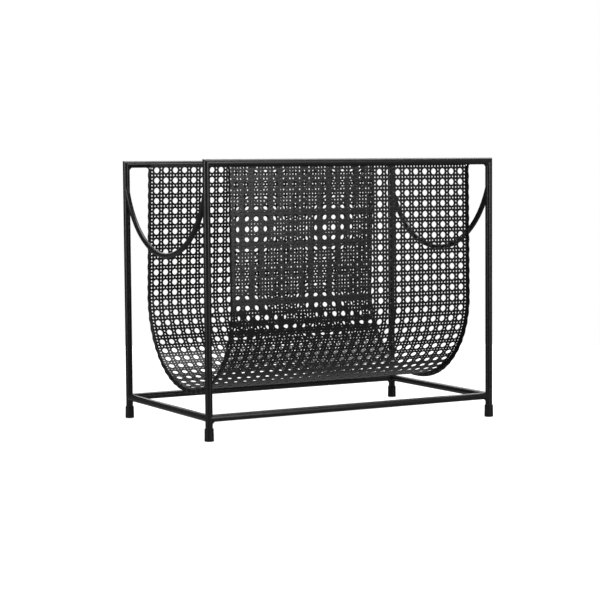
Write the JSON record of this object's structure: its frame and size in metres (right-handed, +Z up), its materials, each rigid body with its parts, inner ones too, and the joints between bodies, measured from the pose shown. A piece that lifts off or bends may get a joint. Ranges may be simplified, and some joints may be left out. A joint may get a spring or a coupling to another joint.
{
  "type": "magazine rack",
  "caption": "Free-standing welded wire rack that holds magazines in a U-shaped sling of perforated sheet, open at the top and both ends.",
  "frame": {"origin": "on the floor, under the middle of the rack", "axes": "+X along the top rails, to the right as seen from the front; +Y to the back; +Z up"},
  "size_m": [0.3722, 0.222, 0.3],
  "materials": {
    "frame_coat": "satin black powder coat",
    "sheet_coat": "satin black powder coat on perforated sheet",
    "cap_plastic": "matte black"
  },
  "bodies": {
    "root": {"post_front_left": "frame_coat", "post_front_right": "frame_coat", "post_back_left": "frame_coat", "post_back_right": "frame_coat", "top_rail_front": "frame_coat", "top_rail_back": "frame_coat", "base_rail_front": "frame_coat", "base_rail_back": "frame_coat", "base_rail_left": "frame_coat", "base_rail_right": "frame_coat", "end_bow_left": "frame_coat", "end_bow_right": "frame_coat", "sling_sheet": "sheet_coat", "foot_cap_front_left": "cap_plastic", "foot_cap_front_right": "cap_plastic", "foot_cap_back_left": "cap_plastic", "foot_cap_back_right": "cap_plastic", "welds_base": "frame_coat", "welds_top_corners": "frame_coat", "welds_end_bows": "frame_coat", "sling_seam_front": "frame_coat", "sling_seam_back": "frame_coat", "welds_sling_corners": "frame_coat"}
  },
  "joints": []
}
